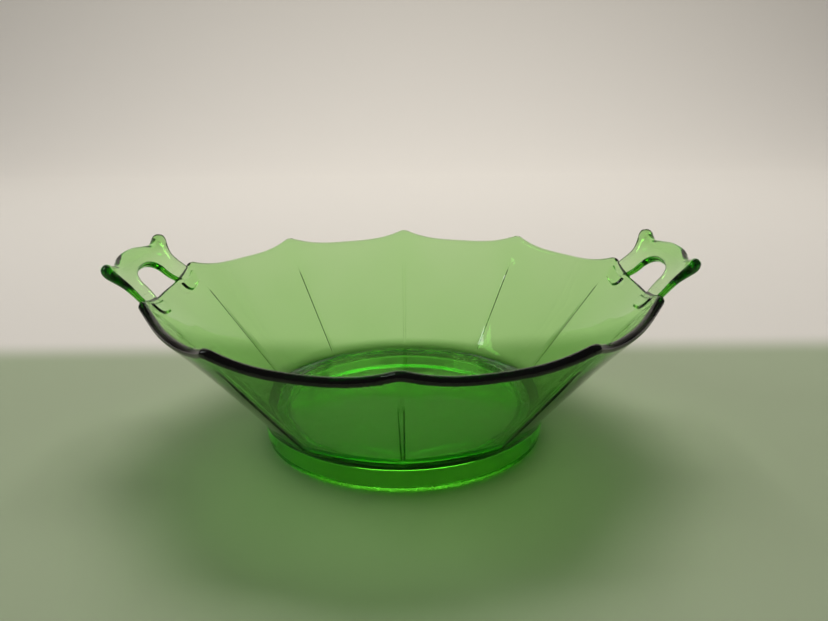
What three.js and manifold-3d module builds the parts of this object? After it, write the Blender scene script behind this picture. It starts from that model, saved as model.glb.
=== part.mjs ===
// Footed serving bowl in green uranium glass: ten shallow panels, a rounded rim that dips
// between its ten points, a round foot ring and two open handles.
// Millimetres, +Z up. The origin is the middle of the foot's resting face, and the handles lie along X.
import * as THREE from "three";
import { TessellateModifier } from "three/addons/modifiers/TessellateModifier.js";
import { mergeVertices } from "three/addons/utils/BufferGeometryUtils.js";
import Module from "manifold-3d";

const wasm = await Module();
wasm.setup();

// Rim and panels
const PANELS = 10;
const RIM_R = 115; // to the centre of its rounding, at a rim point
const RIM_Z = 72.1;
const RIM_ROUND = 2;
const RIM_SAG = 4.7; // how far the rim dips between two points
const SAG_POWER = 3; // above 2 keeps the dip flat in the middle and the points sharp
const PANEL_POWER = 2;
const PANEL_FLAT_LOW = 0.045; // share of the radius a panel is flattened by, near the foot
const PANEL_FLAT_HIGH = 0.004; // and at the rim
const PANEL_CENTRE_LOW = 0.5; // near the foot half of it goes inwards and half outwards
const PANEL_ONSET = 0.5; // below 1 makes the panels start sharply above the round foot
const WALL_ROWS = [0.25, 0.5, 0.75]; // rows of vertices, as shares of the wall's length

// Wall and floor
const WALL_T = 2 * RIM_ROUND;
const FLOOR_TOP_Z = 15.4;
const FLOOR_UNDER_Z = 8.5;
const FLOOR_R = 64.3;
const FLOOR_FILLET = 5;

// Foot ring
const FOOT_TOP_Z = 12.6;
const FOOT_TOP_R = 68.3;
const FOOT_SHOULDER = 0.4; // the foot's side steps in by this much under its top edge
const FOOT_BASE_R = 67;
const FOOT_INNER_R = 58.5;
const FOOT_DRAFT = 1; // the recess narrows by this much towards the floor
const FOOT_EDGE = 1.2; // rounding of the resting face's two edges

// Handles
const HANDLE_TILT = THREE.MathUtils.degToRad(43);
const HANDLE_X = 109.8; // where the plate's mid-surface starts, over the rim between two points
const HANDLE_Z = 69.3;
const HANDLE_UNDER = -2.4; // the plate's flat underside
const HANDLE_ROOT_T = 2.6; // thickness at the root, along the top of the arch, and at the ears
const HANDLE_ARCH_T = 4.4;
const HANDLE_EAR_T = 6;
const HANDLE_EDGE = 0.4; // rounding of its edge, as a share of the thickness
const EAR_U = 35;
const EAR_S = 22;
const HANDLE_CURL = 0.0026; // 1/mm: the plate curls up towards its ears
const SEAM_S = 5.2; // how far out along the plate the loop leaves the bowl
const GAP = 0.3; // between neighbouring pieces

const ANGULAR_STEPS = PANELS * 8;
const RIM_STEPS = 6;
const FILLET_STEPS = 4;
const EDGE_STEPS = 3;
const CURVE_STEPS = 2;
const PLATE_FACET = 9; // longest edge on a curled face
const SPLITS = 12;
const CUTTER = 400;

const glass = (color) => new THREE.MeshStandardMaterial({ color, roughness: 0.08, metalness: 0 });

// Closed geometry <-> solid
function toSolid(geometry) {
  const bare = geometry.index ? geometry.toNonIndexed() : geometry.clone();
  bare.deleteAttribute("normal");
  bare.deleteAttribute("uv");
  const merged = mergeVertices(bare, 1e-3);
  const vertProperties = merged.attributes.position.array;
  const triVerts = new Uint32Array(merged.index.array);
  return new wasm.Manifold(new wasm.Mesh({ numProp: 3, vertProperties, triVerts }));
}

function toMesh(solid, name, color) {
  const { vertProperties, triVerts } = solid.getMesh();
  const geometry = new THREE.BufferGeometry();
  geometry.setAttribute("position", new THREE.BufferAttribute(vertProperties, 3));
  geometry.setIndex(new THREE.BufferAttribute(triVerts, 1));
  geometry.computeVertexNormals();
  const mesh = new THREE.Mesh(geometry, glass(color));
  mesh.name = name;
  return mesh;
}

// Points on an arc in the (radius, height) plane, both ends included.
function arc(centreR, centreZ, radius, from, to, steps) {
  const points = [];
  for (let i = 0; i <= steps; i++) {
    const angle = from + ((to - from) * i) / steps;
    points.push(new THREE.Vector2(centreR + radius * Math.cos(angle), centreZ + radius * Math.sin(angle)));
  }
  return points;
}

// Turns a profile about the Z axis.
function turn(profile) {
  return new THREE.LatheGeometry(profile, ANGULAR_STEPS).rotateX(Math.PI / 2);
}

// The wall leans out from the foot's top edge to the rim.
const LEAN = Math.atan2(RIM_Z - FOOT_TOP_Z, RIM_R - FOOT_TOP_R - WALL_T / 2);
const ALONG = new THREE.Vector2(Math.cos(LEAN), Math.sin(LEAN));
const OUT = new THREE.Vector2(Math.sin(LEAN), -Math.cos(LEAN));

const besideRim = (aside) => new THREE.Vector2(RIM_R, RIM_Z).addScaledVector(OUT, aside);

// Dips the rim between its points and flattens the panels between their joints.
function panelled(geometry) {
  const position = geometry.attributes.position;
  const point = new THREE.Vector3();
  for (let i = 0; i < position.count; i++) {
    point.fromBufferAttribute(position, i);
    const rise = THREE.MathUtils.clamp((point.z - FOOT_TOP_Z) / (RIM_Z - FOOT_TOP_Z), 0, 1);
    const radius = Math.hypot(point.x, point.y);
    if (rise === 0 || radius < FLOOR_R - FLOOR_FILLET) continue;
    const turns = (Math.atan2(point.y, point.x) + Math.PI / 2) / (2 * Math.PI);
    const across = turns * PANELS - Math.floor(turns * PANELS); // 0 and 1 at a panel's two joints
    const toJoint = Math.abs(2 * across - 1);
    const dip = RIM_SAG * rise * rise * (1 - toJoint ** SAG_POWER);
    const flat = rise ** PANEL_ONSET * THREE.MathUtils.lerp(PANEL_FLAT_LOW, PANEL_FLAT_HIGH, rise);
    const middle = THREE.MathUtils.lerp(PANEL_CENTRE_LOW, 1, rise);
    const inward = dip / Math.tan(LEAN) + radius * flat * (middle - toJoint ** PANEL_POWER);
    const scale = (radius - inward) / radius;
    position.setXYZ(i, point.x * scale, point.y * scale, point.z - dip);
  }
  return geometry;
}

// Floor, wall and rim in one profile, from the axis under the floor round to the axis on top of it.
function bowlGeometry() {
  const innerTop = besideRim(-WALL_T / 2);
  const innerLean = Math.atan2(innerTop.y - FLOOR_TOP_Z, innerTop.x - FLOOR_R);
  const tangent = FLOOR_FILLET * Math.tan(innerLean / 2);
  const outerFoot = new THREE.Vector2(FOOT_TOP_R, FOOT_TOP_Z);
  const outerTop = besideRim(WALL_T / 2);
  const filletTop = new THREE.Vector2(FLOOR_R, FLOOR_TOP_Z)
    .addScaledVector(new THREE.Vector2(Math.cos(innerLean), Math.sin(innerLean)), tangent);
  const profile = [
    new THREE.Vector2(0, FLOOR_UNDER_Z),
    new THREE.Vector2(FOOT_INNER_R - FOOT_DRAFT, FLOOR_UNDER_Z),
    new THREE.Vector2(FOOT_TOP_R - FOOT_SHOULDER, FLOOR_UNDER_Z),
    outerFoot,
    ...WALL_ROWS.map((share) => outerFoot.clone().lerp(outerTop, share)),
    ...arc(RIM_R, RIM_Z, RIM_ROUND, LEAN - Math.PI / 2, LEAN + Math.PI / 2, RIM_STEPS),
    ...WALL_ROWS.map((share) => innerTop.clone().lerp(filletTop, share)),
    ...arc(
      FLOOR_R - tangent,
      FLOOR_TOP_Z + FLOOR_FILLET,
      FLOOR_FILLET,
      innerLean - Math.PI / 2,
      -Math.PI / 2,
      FILLET_STEPS,
    ),
    new THREE.Vector2(0, FLOOR_TOP_Z),
  ];
  return panelled(turn(profile));
}

// A drafted ring with a flat resting face and rounded edges.
function footGeometry() {
  const top = FLOOR_UNDER_Z - GAP;
  const outerTop = THREE.MathUtils.lerp(FOOT_BASE_R, FOOT_TOP_R, top / FOOT_TOP_Z);
  const profile = [
    new THREE.Vector2(FOOT_INNER_R - FOOT_DRAFT, top),
    ...arc(FOOT_INNER_R + FOOT_EDGE, FOOT_EDGE, FOOT_EDGE, Math.PI, 1.5 * Math.PI, EDGE_STEPS),
    ...arc(FOOT_BASE_R - FOOT_EDGE, FOOT_EDGE, FOOT_EDGE, 1.5 * Math.PI, 2 * Math.PI, EDGE_STEPS),
    new THREE.Vector2(outerTop, top),
    new THREE.Vector2(FOOT_INNER_R - FOOT_DRAFT, top),
  ];
  return turn(profile);
}

// The handle's arch, seen square on to its plate: across the panel, and out along the plate.
function archShape() {
  const root = [25, -3];
  const outside = [
    root, [29, -2.2], [31.3, 1], [31, 5], [30.2, 9], [30.2, 12.5], [32.3, 16], [35, 19.5],
    [35, 22.8], [32, 25], [27.6, 23.9], [21.9, 22.8], [15, 24.4], [8, 26.2], [0, 26.7],
  ];
  const inside = [
    [0, 15.8], [5.5, 15.4], [10.3, 13.6], [12.9, 10.5], [13.4, 6.5], [14.6, 3], [17, -0.3], [20.5, -2.2], root,
  ];
  const mirrored = ([x, y]) => [-x, y];
  const vector = ([x, y]) => new THREE.Vector2(x, y);
  const outer = [...outside, ...outside.slice(0, -1).reverse().map(mirrored)].map(vector);
  const inner = [...inside.slice(1).reverse().map(mirrored), ...inside].map(vector);
  const shape = new THREE.Shape();
  shape.moveTo(outer[0].x, outer[0].y);
  shape.splineThru(outer.slice(1));
  shape.splineThru(inner);
  return shape;
}

// Stands a piece drawn flat (x across, y out along the plate, z through it) at the +X handle.
function placeOnHandle(geometry) {
  const across = new THREE.Vector3(0, -1, 0);
  const outward = new THREE.Vector3(Math.cos(HANDLE_TILT), 0, Math.sin(HANDLE_TILT));
  const through = new THREE.Vector3(-Math.sin(HANDLE_TILT), 0, Math.cos(HANDLE_TILT));
  const stand = new THREE.Matrix4().makeBasis(across, outward, through);
  return geometry.applyMatrix4(stand.setPosition(HANDLE_X, 0, HANDLE_Z));
}

// The plate at a point across it and out along it: curled up, and thicker towards the arch and the ears.
function plateThickness(across, out) {
  const outer = THREE.MathUtils.lerp(HANDLE_ARCH_T, HANDLE_EAR_T, Math.min(Math.abs(across) / EAR_U, 1) ** 3);
  return THREE.MathUtils.lerp(HANDLE_ROOT_T, outer, THREE.MathUtils.clamp(out / EAR_S, 0, 1) ** 2);
}

// Drawn one unit thick, then given its thickness and its curl.
function archGeometry() {
  const flat = new THREE.ExtrudeGeometry(archShape(), {
    depth: 1 - 2 * HANDLE_EDGE,
    bevelThickness: HANDLE_EDGE,
    bevelSize: HANDLE_EDGE * HANDLE_ARCH_T,
    bevelOffset: -HANDLE_EDGE * HANDLE_ARCH_T,
    bevelSegments: EDGE_STEPS,
    curveSegments: CURVE_STEPS,
  });
  flat.translate(0, 0, HANDLE_EDGE);
  const curled = new TessellateModifier(PLATE_FACET, SPLITS).modify(flat);
  const position = curled.attributes.position;
  for (let i = 0; i < position.count; i++) {
    const across = position.getX(i);
    const thickness = plateThickness(across, position.getY(i));
    position.setZ(i, HANDLE_UNDER + position.getZ(i) * thickness + HANDLE_CURL * across ** 2);
  }
  return placeOnHandle(curled);
}

// Everything beyond (side 1) or short of (side -1) the seam between loop and bowl.
function seamCutter(side) {
  const box = new THREE.BoxGeometry(CUTTER, CUTTER, CUTTER);
  box.translate(0, SEAM_S + side * (CUTTER / 2 + GAP / 2), 0);
  return toSolid(placeOnHandle(box));
}

const halfTurn = (solid) => solid.rotate([0, 0, 180]);

const arch = toSolid(archGeometry());
const loop = arch.intersect(seamCutter(1));
const roots = arch.intersect(seamCutter(-1));
const bowl = toSolid(bowlGeometry()).add(roots).add(halfTurn(roots));

const dish = new THREE.Group();
dish.add(toMesh(bowl, "bowl_body", 0x6fae4e));
dish.add(toMesh(toSolid(footGeometry()), "foot_ring", 0x4f9a2c));
dish.add(toMesh(loop, "handle_right", 0x5fa63f));
dish.add(toMesh(halfTurn(loop), "handle_left", 0x5fa63f));

export default dish;
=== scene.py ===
import math

import bmesh
import bpy
import numpy as np
from mathutils import Matrix, Vector


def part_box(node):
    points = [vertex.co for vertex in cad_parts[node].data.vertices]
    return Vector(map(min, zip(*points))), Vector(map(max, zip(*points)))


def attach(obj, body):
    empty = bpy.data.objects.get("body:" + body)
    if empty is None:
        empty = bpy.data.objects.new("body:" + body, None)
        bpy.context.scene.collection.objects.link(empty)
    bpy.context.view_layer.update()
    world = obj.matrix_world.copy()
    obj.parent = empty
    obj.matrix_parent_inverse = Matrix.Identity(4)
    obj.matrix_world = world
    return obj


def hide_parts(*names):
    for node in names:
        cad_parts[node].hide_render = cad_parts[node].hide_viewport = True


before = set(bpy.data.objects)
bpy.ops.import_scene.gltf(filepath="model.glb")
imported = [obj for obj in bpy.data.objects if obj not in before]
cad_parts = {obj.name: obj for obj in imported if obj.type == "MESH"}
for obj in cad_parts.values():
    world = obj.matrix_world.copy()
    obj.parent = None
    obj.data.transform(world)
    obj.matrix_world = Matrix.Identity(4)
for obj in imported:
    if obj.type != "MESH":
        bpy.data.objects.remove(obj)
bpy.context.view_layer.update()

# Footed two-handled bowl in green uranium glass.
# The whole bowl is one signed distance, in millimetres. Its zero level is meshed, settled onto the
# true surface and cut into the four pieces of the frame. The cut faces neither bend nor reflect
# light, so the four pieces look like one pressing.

MM = 0.001


def box_mm(node):
    low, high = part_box(node)
    return np.array(low) / MM, np.array(high) / MM


BOWL_LOW, BOWL_HIGH = box_mm("bowl_body")
FOOT_LOW, FOOT_HIGH = box_mm("foot_ring")
HANDLE_LOW, HANDLE_HIGH = box_mm("handle_right")

# Rim and panels
PANELS = 10
RIM_ROUND = 2.0
RIM_R = BOWL_HIGH[1] - RIM_ROUND  # to the centre of its rounding, at a rim point
RIM_Z = 72.1
RIM_SAG = 4.7  # how far the rim dips between two points
SAG_POWER = 3  # above 2 keeps the dip flat in the middle and the points sharp
PANEL_POWER = 2
PANEL_CENTRE_LOW = 0.5  # near the foot half of the flattening goes inwards and half outwards
PANEL_FLAT_LOW = 0.045  # share of the radius between a panel's middle and its joints, near the foot
PANEL_FLAT_HIGH = 0.004  # and at the rim
PANEL_ONSET = 0.5  # below 1 makes the panels start sharply above the round foot
STRIP = 0.04  # the narrow strip between two panels, as a share of half a panel each way
RIB = 0.5  # how far the strip stands out as a rib on the outside
RIB_ENDS = (0.0, 0.06, 0.66, 0.84)  # where along the wall it rises and dies away
RIB_COLUMNS = (0.225, 0.625, 0.9, 1.1)  # cell lines across half of it, in half widths
CREASE_LOW, CREASE_HIGH = 0.1, 0.5  # rounding of its two edges, at the foot and at the rim

# Wall, floor and foot
WALL_T = 2 * RIM_ROUND
FLOOR_TOP_Z = 15.4
FLOOR_UNDER_Z = BOWL_LOW[2]
FLOOR_R = 64.3
FLOOR_FILLET = 5.0
FOOT_TOP_Z = 12.6
FOOT_TOP_R = 68.3
FOOT_BASE_R = 67.0
FOOT_INNER_R = 58.5
FOOT_DRAFT = 1.0
FOOT_EDGE = 1.6
RECESS_FILLET = 2.0
FOOT_CREASE = 1.0

# Handles
HANDLE_TILT = math.radians(43)
HANDLE_X = 109.8  # the plate's coordinates start here
HANDLE_Z = 69.3
HANDLE_UNDER = -2.4  # the plate's flat underside
HANDLE_THIN, HANDLE_ARCH, HANDLE_EAR = 2.6, 4.4, 6.0  # at the root, on top of the arch, at the ears
HANDLE_ROUND = 0.46  # rounding of its edge, as a share of the thickness
HANDLE_CURL = 0.0026  # 1/mm: the plate curls up towards its ears
HANDLE_BLEND = 0.6
HANDLE_REACH = 15.0  # the handle's shape is only read this close to its node
EAR_U, EAR_S = 35.0, 22.0
PAD_HEIGHT, PAD_EDGE = 0.8, 1.5  # the low pads on the inner wall that the handle springs from
PAD_MIDDLE, PAD_HALF, PAD_DEPTH, PAD_CORNER = 22.2, 3.6, 2.8, 5.0
SEAM_S = 5.2  # how far out along the plate the handle leaves the bowl

# Meshing
FINE, COARSE = ((0.8, 2.1))
PLAIN_CELLS, HANDLE_CELLS = ((32, 84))  # round the bowl, per panel
DISC_R = 52.0  # inside it the floor is flat, and is filled with one fan on each side
MARGIN = 2.0  # the lattice starts and ends this far outside the glass
ROOT_ZONE = 11.0  # fine cells reach this far below the rim and inside it
SPLINE_STEPS = 12
UNDO_ROUNDS = 3
SETTLE_FIRST, RELAX_ROUNDS, SETTLE_LAST = 3, 6, 2
RELAX_SHARE = 0.5
SLOPE_STEP = 0.02
LEAST_SLOPE = 0.1
CREASE_STEP = 0.5
ON_EDGE = 0.01
SEAM_GAP = 0.03
CUT_SNAP = 1e-5
TINY = 1e-6

LEAN = math.atan2(RIM_Z - FOOT_TOP_Z, RIM_R - FOOT_TOP_R - WALL_T / 2)
PANEL_ANGLE = 2 * math.pi / PANELS


def blend(a, b, size):
    """Union of two solids with a fillet of about size."""
    h = np.clip(0.5 + 0.5 * (b - a) / size, 0, 1)
    return b + (a - b) * h - size * h * (1 - h)


def blend_cut(a, b, size):
    """Intersection of two solids with a rounded edge of about size."""
    return -blend(-a, -b, size)


def mix(a, b, t):
    return a + (b - a) * t


def from_rim(r, z):
    """Distances along the wall (0 at the rim, negative below) and aside of it (outside positive)."""
    along = (r - RIM_R) * math.cos(LEAN) + (z - RIM_Z) * math.sin(LEAN)
    aside = (r - RIM_R) * math.sin(LEAN) - (z - RIM_Z) * math.cos(LEAN)
    return along, aside


FOOT_ALONG, FOOT_ASIDE = from_rim(FOOT_TOP_R, FOOT_TOP_Z)
FLOOR_ALONG, FLOOR_ASIDE = from_rim(FLOOR_R, FLOOR_TOP_Z)


def smooth(value, start, end):
    t = np.clip((value - start) / (end - start), 0, 1)
    return t * t * (3 - 2 * t)


def pad(across, depth):
    """Height of the pads under the handles' two legs, in distances across the panel and below the rim."""
    aside = np.abs(np.abs(across) - PAD_MIDDLE) - PAD_HALF
    beyond = np.hypot(np.maximum(aside, 0), np.maximum(depth - PAD_DEPTH, 0))
    falls = smooth(beyond, PAD_CORNER - PAD_EDGE, PAD_CORNER)
    return PAD_HEIGHT * (1 - falls) * smooth(depth, 0, PAD_EDGE)


def section(r, z, rib, across):
    """The bowl's cross section before its panels are formed."""
    along, aside = from_rim(r, z)
    outside = mix(WALL_T / 2, FOOT_ASIDE, along / FOOT_ALONG) + rib
    inside = mix(-WALL_T / 2, FLOOR_ASIDE, along / FLOOR_ALONG) - pad(across, -along)
    flare = np.maximum(aside - outside, FLOOR_UNDER_Z - z)
    side = mix(FOOT_BASE_R, FOOT_TOP_R, z / FOOT_TOP_Z)
    drum = np.maximum(blend_cut(r - side, -z, FOOT_EDGE), z - FOOT_TOP_Z)
    hollow = blend_cut(FLOOR_TOP_Z - z, aside - inside, FLOOR_FILLET)
    recess_side = mix(FOOT_INNER_R, FOOT_INNER_R - FOOT_DRAFT, z / FLOOR_UNDER_Z)
    recess = blend_cut(z - FLOOR_UNDER_Z, r - recess_side, RECESS_FILLET)
    body = np.maximum(blend(flare, drum, FOOT_CREASE), -hollow)
    body = blend_cut(body, -recess, FOOT_EDGE / 2)
    edge = np.hypot(r - RIM_R, z - RIM_Z) - RIM_ROUND
    return np.where(along < 0, np.maximum(body, along - RIM_ROUND), edge)


def bowl(x, y, z):
    """Undoes the panels at each point, then reads the plain section."""
    r = np.hypot(x, y)
    turns = (np.arctan2(y, x) / (2 * math.pi) + 0.25) * PANELS
    from_joint = np.abs(turns - np.round(turns)) * 2  # 1 in mid-panel
    from_strip = from_joint - STRIP
    share = np.clip((z - FOOT_TOP_Z) / (RIM_Z - FOOT_TOP_Z), 0, 1)
    rounding = mix(CREASE_LOW, CREASE_HIGH, share) / (RIM_R * math.pi / PANELS)
    from_strip = (from_strip + np.sqrt(from_strip**2 + rounding**2)) / 2
    to_joint = np.clip(1 - from_strip / (1 - STRIP), 0, 1)
    flat_z = z
    for _ in range(UNDO_ROUNDS):
        rise = np.clip((flat_z - FOOT_TOP_Z) / (RIM_Z - FOOT_TOP_Z), 0, 1)
        dip = RIM_SAG * rise**2 * (1 - to_joint**SAG_POWER)
        flat_z = z + dip
    flat = rise**PANEL_ONSET * mix(PANEL_FLAT_LOW, PANEL_FLAT_HIGH, rise)
    inward = dip / math.tan(LEAN)
    flat_r = (r + inward) / (1 - flat * (mix(PANEL_CENTRE_LOW, 1, rise) - to_joint**PANEL_POWER))
    ends = smooth(rise, RIB_ENDS[0], RIB_ENDS[1]) * (1 - smooth(rise, RIB_ENDS[2], RIB_ENDS[3]))
    rib = RIB * ends * np.maximum(1 - (from_joint / STRIP) ** 2, 0)
    across = np.where(np.abs(x) > np.abs(y), y, RIM_R)  # only the two handles' panels have pads
    return section(np.where(rise > 0, flat_r, r), flat_z, rib, across)


def spline(points, steps):
    """Catmull-Rom curve through points, closed."""
    p = np.array(points, float)
    before, after, later = np.roll(p, 1, 0), np.roll(p, -1, 0), np.roll(p, -2, 0)
    t = (np.arange(steps) / steps)[None, :, None]
    a, b, c, d = (q[:, None, :] for q in (before, p, after, later))
    square, cube = 2 * a - 5 * b + 4 * c - d, 3 * b - a - 3 * c + d
    curve = 0.5 * (2 * b + (c - a) * t + square * t**2 + cube * t**3)
    return curve.reshape(-1, 2)


# The arch's underside, seen square on to its plate: across the panel, and out along the plate
ARCH_OUTSIDE = [
    (29, -2.2), (31.3, 1), (31, 5), (30.2, 9), (30.2, 12.5), (32.3, 16), (35, 19.5),
    (35, 22.8), (32, 25), (27.6, 23.9), (21.9, 22.8), (15, 24.4), (8, 26.2), (0, 26.7),
]
ARCH_INSIDE = [
    (0, 15.8), (5.5, 15.4), (10.3, 13.6), (12.9, 10.5), (13.4, 6.5),
    (14.6, 3), (17, -0.3), (20.5, -2.2), (25, -3),
]


def arch_outline():
    outer = ARCH_OUTSIDE + [(-u, s) for u, s in reversed(ARCH_OUTSIDE[:-1])]
    inner = [(-u, s) for u, s in reversed(ARCH_INSIDE[1:])] + ARCH_INSIDE
    return spline(outer + inner, SPLINE_STEPS)


ARCH = arch_outline()


def arch_distance(u, s):
    """Signed distance to the arch's outline in the plate's plane."""
    start, end = ARCH, np.roll(ARCH, -1, 0)
    run = end - start
    nearest = np.full(u.shape, np.inf)
    inside = np.zeros(u.shape, bool)
    for (u0, s0), (u1, s1), (du, ds) in zip(start, end, run):
        t = np.clip(((u - u0) * du + (s - s0) * ds) / (du * du + ds * ds), 0, 1)
        nearest = np.minimum(nearest, (u - u0 - t * du) ** 2 + (s - s0 - t * ds) ** 2)
        if s0 != s1:
            crosses = (s0 > s) != (s1 > s)
            inside ^= crosses & (u < u0 + (s - s0) * du / ds)
    nearest = np.sqrt(nearest)
    return np.where(inside, -nearest, nearest)


def on_plate(x, y, z):
    """Coordinates across the plate, out along it and through it. Both handles are read as one."""
    dx, dz = np.abs(x) - HANDLE_X, z - HANDLE_Z
    out = dx * math.cos(HANDLE_TILT) + dz * math.sin(HANDLE_TILT)
    through = -dx * math.sin(HANDLE_TILT) + dz * math.cos(HANDLE_TILT)
    return y, out, through


def handle(x, y, z):
    across, out, through = on_plate(x, y, z)
    through = through - HANDLE_CURL * across**2
    outer = mix(HANDLE_ARCH, HANDLE_EAR, np.minimum(np.abs(across) / EAR_U, 1) ** 3)
    thick = mix(HANDLE_THIN, outer, np.clip(out / EAR_S, 0, 1) ** 2)
    rounding = HANDLE_ROUND * thick
    edge = arch_distance(np.abs(across), out) + rounding
    face = np.abs(through - HANDLE_UNDER - thick / 2) - thick / 2 + rounding
    beyond = np.hypot(np.maximum(edge, 0), np.maximum(face, 0))
    return beyond + np.minimum(np.maximum(edge, face), 0) - rounding


def near_handle(x, y, z):
    beside = (np.abs(x) > HANDLE_LOW[0] - HANDLE_REACH) & (np.abs(y) < HANDLE_HIGH[1] + HANDLE_REACH)
    return beside & (z > HANDLE_LOW[2] - HANDLE_REACH)


def glass(points):
    """The whole bowl's signed distance at an (n, 3) array of points."""
    x, y, z = points.T
    value = bowl(x, y, z)
    near = near_handle(x, y, z)
    value[near] = blend(value[near], handle(x[near], y[near], z[near]), HANDLE_BLEND)
    return value


def slope(points):
    """Gradient of the distance."""
    columns = []
    for axis in range(3):
        step = np.zeros(3)
        step[axis] = SLOPE_STEP
        columns.append((glass(points + step) - glass(points - step)) / (2 * SLOPE_STEP))
    return np.stack(columns, 1)


def settle(points, rounds):
    for _ in range(rounds):
        g = slope(points)
        points = points - (glass(points) / np.maximum((g * g).sum(1), LEAST_SLOPE))[:, None] * g
    return points


def spaced(*stretches):
    """Lattice lines from stretches of (from, to, step)."""
    lines = [np.linspace(a, b, round((b - a) / step), endpoint=False) for a, b, step in stretches]
    return np.append(np.concatenate(lines), stretches[-1][1])


def lattice():
    """Angles, radii and heights. Each edge of a strip runs through the middle of a column."""
    angles = []
    for n in range(PANELS):
        at_handle = n % (PANELS // 2) == PANELS // 4
        cells = HANDLE_CELLS if at_handle else PLAIN_CELLS
        start = -math.pi / 2 + n * PANEL_ANGLE
        columns = STRIP / 2 * np.array(RIB_COLUMNS)
        narrow, last = columns[:-1], columns[-1]
        shares = np.concatenate([narrow, np.linspace(last, 1 - last, cells), 1 - narrow[::-1]])
        angles.append(start + PANEL_ANGLE * shares)
    wall_from, wall_to = FOOT_TOP_R + MARGIN, RIM_R - ROOT_ZONE
    crease_from = FOOT_BASE_R - MARGIN
    radii = spaced(
        (DISC_R, crease_from, FINE),
        (crease_from, wall_from, FINE / 2),
        (wall_from, wall_to, COARSE),
        (wall_to, HANDLE_HIGH[0] + MARGIN, FINE),
    )
    crease_low = FOOT_TOP_Z - 2.25 * FINE  # puts the foot's top edge in the middle of a layer
    crease_high = crease_low + 5 * FINE
    low, high = FLOOR_TOP_Z + FLOOR_FILLET, RIM_Z - ROOT_ZONE
    heights = spaced(
        (-MARGIN, MARGIN, FINE / 2),
        (MARGIN, crease_low, FINE),
        (crease_low, crease_high, FINE / 2),
        (crease_high, low, FINE),
        (low, high, COARSE),
        (high, HANDLE_HIGH[2] + MARGIN, FINE),
    )
    return np.concatenate(angles), radii, heights


def round_points(angle, r, z):
    return np.stack([r * np.cos(angle), r * np.sin(angle), z], -1)


def surface_net():
    """Quads around the zero level: one vertex in each lattice cell that it crosses."""
    axes = list(lattice())
    around = len(axes[0])
    axes[0] = np.append(axes[0], axes[0][0] + 2 * math.pi)
    grid = round_points(*np.meshgrid(*axes, indexing="ij"))
    field = glass(grid.reshape(-1, 3)).reshape(grid.shape[:3])
    field[-1] = field[0]
    inside = field < 0
    cells = tuple(n - 1 for n in field.shape)
    corners = [(i, j, k) for i in (0, 1) for j in (0, 1) for k in (0, 1)]
    filled = sum(
        inside[i : i + cells[0], j : j + cells[1], k : k + cells[2]].astype(np.int8) for i, j, k in corners
    )
    crossed = (filled > 0) & (filled < len(corners))
    cell = np.argwhere(crossed)
    index = np.full(cells, -1)
    index[crossed] = np.arange(len(cell))
    total, hits = np.zeros((len(cell), 3)), np.zeros(len(cell))
    for a in corners:
        for axis in (n for n in range(3) if not a[n]):
            step = np.eye(3, dtype=int)[axis]
            fa, fb = field[tuple((cell + a).T)], field[tuple((cell + a + step).T)]
            cut = (fa < 0) != (fb < 0)
            share = fa[cut] / (fa[cut] - fb[cut])
            total[cut] += np.array(a) + share[:, None] * step
            hits[cut] += 1
    place = cell + total / hits[:, None]
    points = round_points(*(np.interp(place[:, n], np.arange(len(axes[n])), axes[n]) for n in range(3)))
    quads = []
    for axis in range(3):
        one, other = [n for n in range(3) if n != axis]
        first = np.take(inside, range(cells[axis]), axis)
        second = np.take(inside, range(1, cells[axis] + 1), axis)
        edge = np.argwhere(first != second)
        edge = edge[edge[:, 0] < around]
        edge = edge[(axis == 1) | (edge[:, 1] > 0)]
        ring = []
        for a, b in ((1, 1), (0, 1), (0, 0), (1, 0)):
            cell_there = edge.copy()
            cell_there[:, one] -= a
            cell_there[:, other] -= b
            ring.append(index[tuple(cell_there.T)])
        ring = np.stack(ring, 1)
        turned = first[tuple(edge.T)] != (axis == 1)
        ring[~turned] = ring[~turned][:, ::-1]
        quads.append(ring)
    return points, np.concatenate(quads), cell


def joints_of(cell):
    """The angle to keep for each vertex in the columns of cells over a strip, else nan."""
    angles = lattice()[0]
    before, after = angles[cell[:, 0]], angles[(cell[:, 0] + 1) % len(angles)]
    middle = before + ((after - before) % (2 * math.pi)) / 2
    turns = (middle + math.pi / 2) / PANEL_ANGLE
    on_strip = np.abs(turns - np.round(turns)) < STRIP / 2 + TINY
    return np.where(on_strip, middle, np.nan)


def onto_joints(points, joint):
    on = ~np.isnan(joint)
    r = np.hypot(points[on, 0], points[on, 1])
    points[on] = round_points(joint[on], r, points[on, 2])
    return points


def relax(points, quads, joint, fixed, rounds):
    """Evens out the quads, keeping the vertices on the surface and on their joints."""
    edges = np.concatenate([quads[:, [n, (n + 1) % 4]] for n in range(4)])
    ends = np.concatenate([edges, edges[:, ::-1]])
    count = np.bincount(ends[:, 0], minlength=len(points))
    for _ in range(rounds):
        mean = [np.bincount(ends[:, 0], points[ends[:, 1], n], len(points)) / count for n in range(3)]
        moved = mix(points, np.stack(mean, 1), RELAX_SHARE)
        moved[fixed] = points[fixed]
        points = onto_joints(settle(onto_joints(moved, joint), 1), joint)
    return points


def whole_mesh():
    points, quads, cell = surface_net()
    joint = joints_of(cell)
    points = onto_joints(settle(onto_joints(points, joint), SETTLE_FIRST), joint)
    points = relax(points, quads, joint, cell[:, 1] == 0, RELAX_ROUNDS)
    return onto_joints(settle(points, SETTLE_LAST), joint), quads


def plane_across_handle(side, gap):
    """A point on and the normal of the seam between bowl and handle, facing out of the bowl."""
    normal = Vector((side * math.cos(HANDLE_TILT), 0, math.sin(HANDLE_TILT)))
    start = Vector((side * HANDLE_X, 0, HANDLE_Z))
    return start + normal * (SEAM_S + gap), normal


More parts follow.
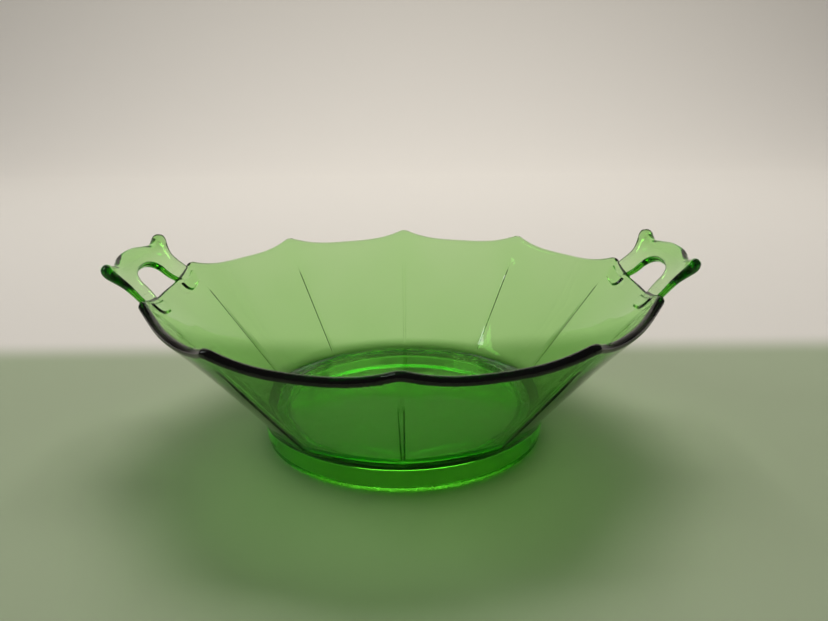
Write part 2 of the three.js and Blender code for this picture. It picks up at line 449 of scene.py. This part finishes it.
def unit(vectors):
    return vectors / np.linalg.norm(vectors, axis=1)[:, None]


def corner_normals(bm, seam):
    """True normals of the surface, split at the edges of the strips, and flat on the seams."""
    co = np.array([v.co for v in bm.verts])
    even = unit(slope(co))
    turns = (np.arctan2(co[:, 1], co[:, 0]) / (2 * math.pi) + 0.25) * PANELS
    r = np.hypot(co[:, 0], co[:, 1])
    off_edge = np.abs(np.abs(turns - np.round(turns)) - STRIP / 2) * PANEL_ANGLE * r
    across = np.stack([-co[:, 1], co[:, 0], 0 * r], 1) / np.maximum(r, TINY)[:, None]
    there = np.nonzero(off_edge < ON_EDGE)[0]
    split = {}
    for side in (-1, 1):
        split[side] = dict(zip(there.tolist(), unit(slope(co[there] + side * CREASE_STEP * across[there]))))
    normals = []
    for face in bm.faces:
        centre = face.calc_center_median()
        for corner in face.loops:
            n = corner.vert.index
            if face[seam]:
                normals.append(tuple(face.normal))
            elif n in split[1]:
                side = 1 if (np.array(centre) - co[n]) @ across[n] > 0 else -1
                normals.append(tuple(split[side][n]))
            else:
                normals.append(tuple(even[n]))
    return normals


def cut_piece(name, whole, planes, nodes):
    """The part of the whole that lies behind every plane, capped, in metres."""
    bm = whole.copy()
    seam = bm.faces.layers.float.new("seam")
    for point, normal in planes:
        everything = bm.verts[:] + bm.edges[:] + bm.faces[:]
        bmesh.ops.bisect_plane(
            bm, geom=everything, dist=CUT_SNAP, plane_co=point, plane_no=normal, clear_outer=True
        )
        rim = [e for e in bm.edges if e.is_boundary]
        cap = bmesh.ops.triangle_fill(bm, edges=rim, use_beauty=True, normal=normal)["geom"]
        for face in (f for f in cap if isinstance(f, bmesh.types.BMFace)):
            face[seam] = 1.0
            if face.normal.dot(normal) < 0:
                face.normal_flip()
    loose = [v for v in bm.verts if not v.link_faces]
    bmesh.ops.delete(bm, geom=loose, context="VERTS")
    bm.normal_update()
    normals = corner_normals(bm, seam)
    for face in bm.faces:
        face.smooth = True
    bmesh.ops.scale(bm, vec=(MM, MM, MM), verts=bm.verts)
    mesh = bpy.data.meshes.new(name)
    bm.to_mesh(mesh)
    bm.free()
    mesh.normals_split_custom_set(normals)
    piece = bpy.data.objects.new(name, mesh)
    bpy.context.scene.collection.objects.link(piece)
    piece.data.materials.append(GLASS)
    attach(piece, "root")
    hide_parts(*nodes)
    return piece


# ---------- material ----------

ABSORB_PER_METRE = (132.0, 28.0, 205.0)  # of red, green and blue
DENSITY_HEADROOM = 1.05  # keeps each channel of the absorption colour above 0
GLASS_IOR, SEAM_IOR = 1.5, 1.0
TINT_SCALE, TINT_RANGE = 28.0, (0.3, 0.7)  # slow change of tint
TINT_THIN, TINT_FULL = (1.0, 1.0, 1.0), (0.955, 0.985, 0.94)
WAVE_SCALE, WAVE_HEIGHT = 55.0, 0.00005  # slow waves left by the mould, in metres
PEEL_SCALE, PEEL_HEIGHT = 260.0, 0.000004
SCRATCH_SHAPES = ((0.35, 520.0), (1.9, 410.0), (2.7, 610.0))  # angle and fineness
SCRATCH_STRETCH = 45
SCRATCH_RANGE = (0.70, 0.74)
SCRATCH_ROUGH = 0.16
SCRATCH_BAND = 0.0006  # how close to the floor's height they are, in metres
REST_WEAR = (0.00012, 0.0003)  # the resting ring is worn in full up to the first height
REST_SCALE, REST_RANGE = 900.0, (0.35, 0.6)
REST_ROUGH = 0.32


class Nodes:
    """Adds nodes to one material."""

    def __init__(self, name):
        self.material = bpy.data.materials.new(name)
        self.material.use_nodes = True
        self.tree = self.material.node_tree
        self.tree.nodes.clear()

    def add(self, kind, **inputs):
        node = self.tree.nodes.new(kind)
        for key, value in inputs.items():
            self.put(node.inputs[key.replace("_", " ")], value)
        return node

    def put(self, socket, value):
        if isinstance(value, bpy.types.NodeSocket):
            self.tree.links.new(value, socket)
        else:
            socket.default_value = value

    def maths(self, operation, *values):
        node = self.tree.nodes.new("ShaderNodeMath")
        node.operation = operation
        for socket, value in zip(node.inputs, values):
            self.put(socket, value)
        return node.outputs[0]

    def ramp(self, value, low, high, to_low=0.0, to_high=1.0):
        node = self.tree.nodes.new("ShaderNodeMapRange")
        node.interpolation_type = "SMOOTHSTEP"
        for key, put in (("Value", value), ("From Min", low), ("From Max", high)):
            self.put(node.inputs[key], put)
        self.put(node.inputs["To Min"], to_low)
        self.put(node.inputs["To Max"], to_high)
        return node.outputs[0]

    def noise(self, vector, scale, detail=2.0):
        return self.add("ShaderNodeTexNoise", Vector=vector, Scale=scale, Detail=detail).outputs["Fac"]


def scratches(nodes, place):
    """Hairlines in several directions."""
    lines = 0.0
    for angle, fineness in SCRATCH_SHAPES:
        turned = nodes.add("ShaderNodeMapping", Vector=place)
        turned.inputs["Rotation"].default_value = (0, 0, angle)
        turned.inputs["Scale"].default_value = (
            fineness, fineness / SCRATCH_STRETCH, fineness / SCRATCH_STRETCH
        )
        streak = nodes.noise(turned.outputs[0], 1.0, 1.0)
        lines = nodes.maths("MAXIMUM", lines, nodes.ramp(streak, *SCRATCH_RANGE))
    return lines


def glass_material():
    """Clear green glass: waves left by the mould, a scratched floor and a ground resting ring."""
    nodes = Nodes("uranium_glass")
    place = nodes.add("ShaderNodeTexCoord").outputs["Object"]
    height = nodes.add("ShaderNodeSeparateXYZ", Vector=place).outputs["Z"]
    waves = nodes.noise(place, WAVE_SCALE)
    peel = nodes.noise(place, PEEL_SCALE)
    on_floor = nodes.maths("COMPARE", height, FLOOR_TOP_Z * MM, SCRATCH_BAND)
    lines = nodes.maths("MULTIPLY", scratches(nodes, place), on_floor)
    worn = nodes.ramp(height, *REST_WEAR, 1.0, 0.0)
    patches = nodes.ramp(nodes.noise(place, REST_SCALE, 6.0), *REST_RANGE)
    worn = nodes.maths("MULTIPLY", nodes.maths("MULTIPLY", worn, patches), REST_ROUGH)
    rough = nodes.maths("MULTIPLY_ADD", lines, SCRATCH_ROUGH, worn)
    tint = nodes.add("ShaderNodeMix")
    tint.data_type = "RGBA"
    tint.inputs["A"].default_value = (*TINT_THIN, 1)
    tint.inputs["B"].default_value = (*TINT_FULL, 1)
    nodes.put(tint.inputs["Factor"], nodes.ramp(nodes.noise(place, TINT_SCALE, 3.0), *TINT_RANGE))
    slow = nodes.add("ShaderNodeBump", Strength=1.0, Distance=WAVE_HEIGHT, Height=waves)
    fine = nodes.add("ShaderNodeBump", Strength=1.0, Distance=PEEL_HEIGHT, Height=peel)
    nodes.put(fine.inputs["Normal"], slow.outputs[0])
    seam = nodes.add("ShaderNodeAttribute")
    seam.attribute_name = "seam"
    ior = nodes.add("ShaderNodeMapRange", To_Min=GLASS_IOR, To_Max=SEAM_IOR)
    nodes.put(ior.inputs["Value"], seam.outputs["Fac"])
    surface = nodes.add(
        "ShaderNodeBsdfPrincipled",
        Base_Color=tint.outputs["Result"],
        Transmission_Weight=1.0,
        Roughness=rough,
        IOR=ior.outputs[0],
        Normal=fine.outputs[0],
    )
    density = max(ABSORB_PER_METRE) * DENSITY_HEADROOM
    colour = [1 - a / density for a in ABSORB_PER_METRE]
    volume = nodes.add("ShaderNodeVolumeAbsorption", Color=(*colour, 1), Density=density)
    out = nodes.add("ShaderNodeOutputMaterial")
    nodes.put(out.inputs["Surface"], surface.outputs["BSDF"])
    nodes.put(out.inputs["Volume"], volume.outputs["Volume"])
    return nodes.material


GLASS = glass_material()


# ---------- the four pieces ----------

def close_floor(bm):
    """Fills the flat middle of the floor, above and below, with a fan."""
    for z in (FLOOR_TOP_Z, FLOOR_UNDER_Z):
        middle = bm.verts.new((0, 0, z))
        for edge in [e for e in bm.edges if e.is_boundary and abs(e.verts[0].co.z - z) < FINE]:
            bm.faces.new((*edge.verts, middle))
    bm.verts.index_update()


def build_pieces():
    points, quads = whole_mesh()
    mesh = bpy.data.meshes.new("whole")
    mesh.from_pydata(points.tolist(), [], quads.tolist())
    whole = bmesh.new()
    whole.from_mesh(mesh)
    bpy.data.meshes.remove(mesh)
    close_floor(whole)
    bmesh.ops.recalc_face_normals(whole, faces=whole.faces)
    foot_seam = Vector((0, 0, (FOOT_HIGH[2] + BOWL_LOW[2]) / 2))
    up, down = Vector((0, 0, 1)), Vector((0, 0, -1))
    half = SEAM_GAP / 2
    right, right_normal = plane_across_handle(1, -half)
    left, left_normal = plane_across_handle(-1, -half)
    cut_piece(
        "bowl_glass",
        whole,
        [(foot_seam + up * half, down), (right, right_normal), (left, left_normal)],
        ["bowl_body"],
    )
    cut_piece("foot_glass", whole, [(foot_seam - up * half, up)], ["foot_ring"])
    for side, name in ((1, "handle_right"), (-1, "handle_left")):
        point, normal = plane_across_handle(side, half)
        cut_piece(name.replace("handle", "handle_glass"), whole, [(point, -normal)], [name])
    whole.free()


build_pieces()


# ---------- stage ----------

FLOOR_NEAR, FLOOR_FAR = (0.37, 0.44, 0.29), (0.78, 0.75, 0.70)
FADE = (0.085, 0.125)
FLOOR_ROUGH = 0.6
SWEEP_FRONT, SWEEP_BACK, SWEEP_TOP, SWEEP_BEND = 2.2, 1.5, 2.0, 0.5
SWEEP_HALF_WIDTH = 3
SWEEP_STEPS = 12
SWEEP_DROP = 0.0002  # the floor lies just under the resting ring
ROOM = (0.08, 0.077, 0.073)


def floor_material():
    """Sage under the bowl, paler and warmer behind it."""
    material = bpy.data.materials.new("pale_floor")
    material.use_nodes = True
    tree = material.node_tree
    where = tree.nodes.new("ShaderNodeNewGeometry")
    split = tree.nodes.new("ShaderNodeSeparateXYZ")
    fade = tree.nodes.new("ShaderNodeMapRange")
    fade.interpolation_type = "SMOOTHSTEP"
    fade.inputs["From Min"].default_value, fade.inputs["From Max"].default_value = FADE
    colour = tree.nodes.new("ShaderNodeMix")
    colour.data_type = "RGBA"
    colour.inputs["A"].default_value = (*FLOOR_NEAR, 1)
    colour.inputs["B"].default_value = (*FLOOR_FAR, 1)
    tree.links.new(where.outputs["Position"], split.inputs["Vector"])
    tree.links.new(split.outputs["Y"], fade.inputs["Value"])
    tree.links.new(fade.outputs["Result"], colour.inputs["Factor"])
    shader = tree.nodes["Principled BSDF"]
    shader.inputs["Roughness"].default_value = FLOOR_ROUGH
    tree.links.new(colour.outputs["Result"], shader.inputs["Base Color"])
    return material


def sweep():
    """Floor that curves up into a wall behind the bowl."""
    turn_y = SWEEP_BACK - SWEEP_BEND
    profile = [(-SWEEP_FRONT, 0.0), (turn_y, 0.0)]
    for n in range(1, SWEEP_STEPS + 1):
        a = math.pi / 2 * n / SWEEP_STEPS
        profile.append((turn_y + SWEEP_BEND * math.sin(a), SWEEP_BEND - SWEEP_BEND * math.cos(a)))
    profile.append((SWEEP_BACK, SWEEP_TOP))
    verts = [(x, y, z) for y, z in profile for x in (-SWEEP_HALF_WIDTH, SWEEP_HALF_WIDTH)]
    faces = [(2 * n, 2 * n + 1, 2 * n + 3, 2 * n + 2) for n in range(len(profile) - 1)]
    mesh = bpy.data.meshes.new("sweep")
    mesh.from_pydata(verts, [], faces)
    mesh.shade_smooth()
    floor = bpy.data.objects.new("sweep", mesh)
    floor.location.z = -SWEEP_DROP
    bpy.context.scene.collection.objects.link(floor)
    mesh.materials.append(floor_material())


def lamp(name, place, aim, size, power, colour):
    data = bpy.data.lights.new(name, "AREA")
    data.shape = "RECTANGLE"
    data.size, data.size_y = size
    data.energy = power
    data.color = colour
    light = bpy.data.objects.new(name, data)
    light.location = place
    light.rotation_euler = (Vector(aim) - Vector(place)).to_track_quat("-Z", "Y").to_euler()
    bpy.context.scene.collection.objects.link(light)
    return light


sweep()
lamp("window", (-1.6, 0.1, 1.2), (0, 0, 0.05), (0.22, 1.0), 3.5, (0.95, 0.98, 1))
ceiling = lamp("ceiling", (0.1, 0.9, 1.9), (0, 0.1, 0), (1.3, 1.0), 33, (1, 0.97, 0.93))
ceiling.visible_glossy = False

world = bpy.data.worlds.new("room")
bpy.context.scene.world = world
world.use_nodes = True
world.node_tree.nodes["Background"].inputs["Color"].default_value = (*ROOM, 1)

# ---------- camera ----------

CAMERA_DISTANCE = 2.8392 * RIM_R * MM
CAMERA_HEIGHT = 1.3994 * RIM_R * MM
CAMERA_PITCH = math.radians(17.53)
CAMERA_YAW = math.radians(0.924)
CAMERA_ROLL = math.radians(-0.541)
BOWL_TURN = math.radians(-0.626)
LENS, SENSOR = 31.22, 36.0

camera_data = bpy.data.cameras.new("camera")
camera_data.lens, camera_data.sensor_width = LENS, SENSOR
camera_data.clip_start = 0.01
camera = bpy.data.objects.new("camera", camera_data)
bpy.context.scene.collection.objects.link(camera)
pose = Matrix.Rotation(-BOWL_TURN, 4, "Z") @ Matrix.Translation((0, -CAMERA_DISTANCE, CAMERA_HEIGHT))
turn = Matrix.Rotation(-CAMERA_YAW, 4, "Z") @ Matrix.Rotation(math.pi / 2 - CAMERA_PITCH, 4, "X")
camera.matrix_world = pose @ turn @ Matrix.Rotation(CAMERA_ROLL, 4, "Z")
bpy.context.scene.camera = camera
bpy.context.scene.view_settings.view_transform = "Standard"
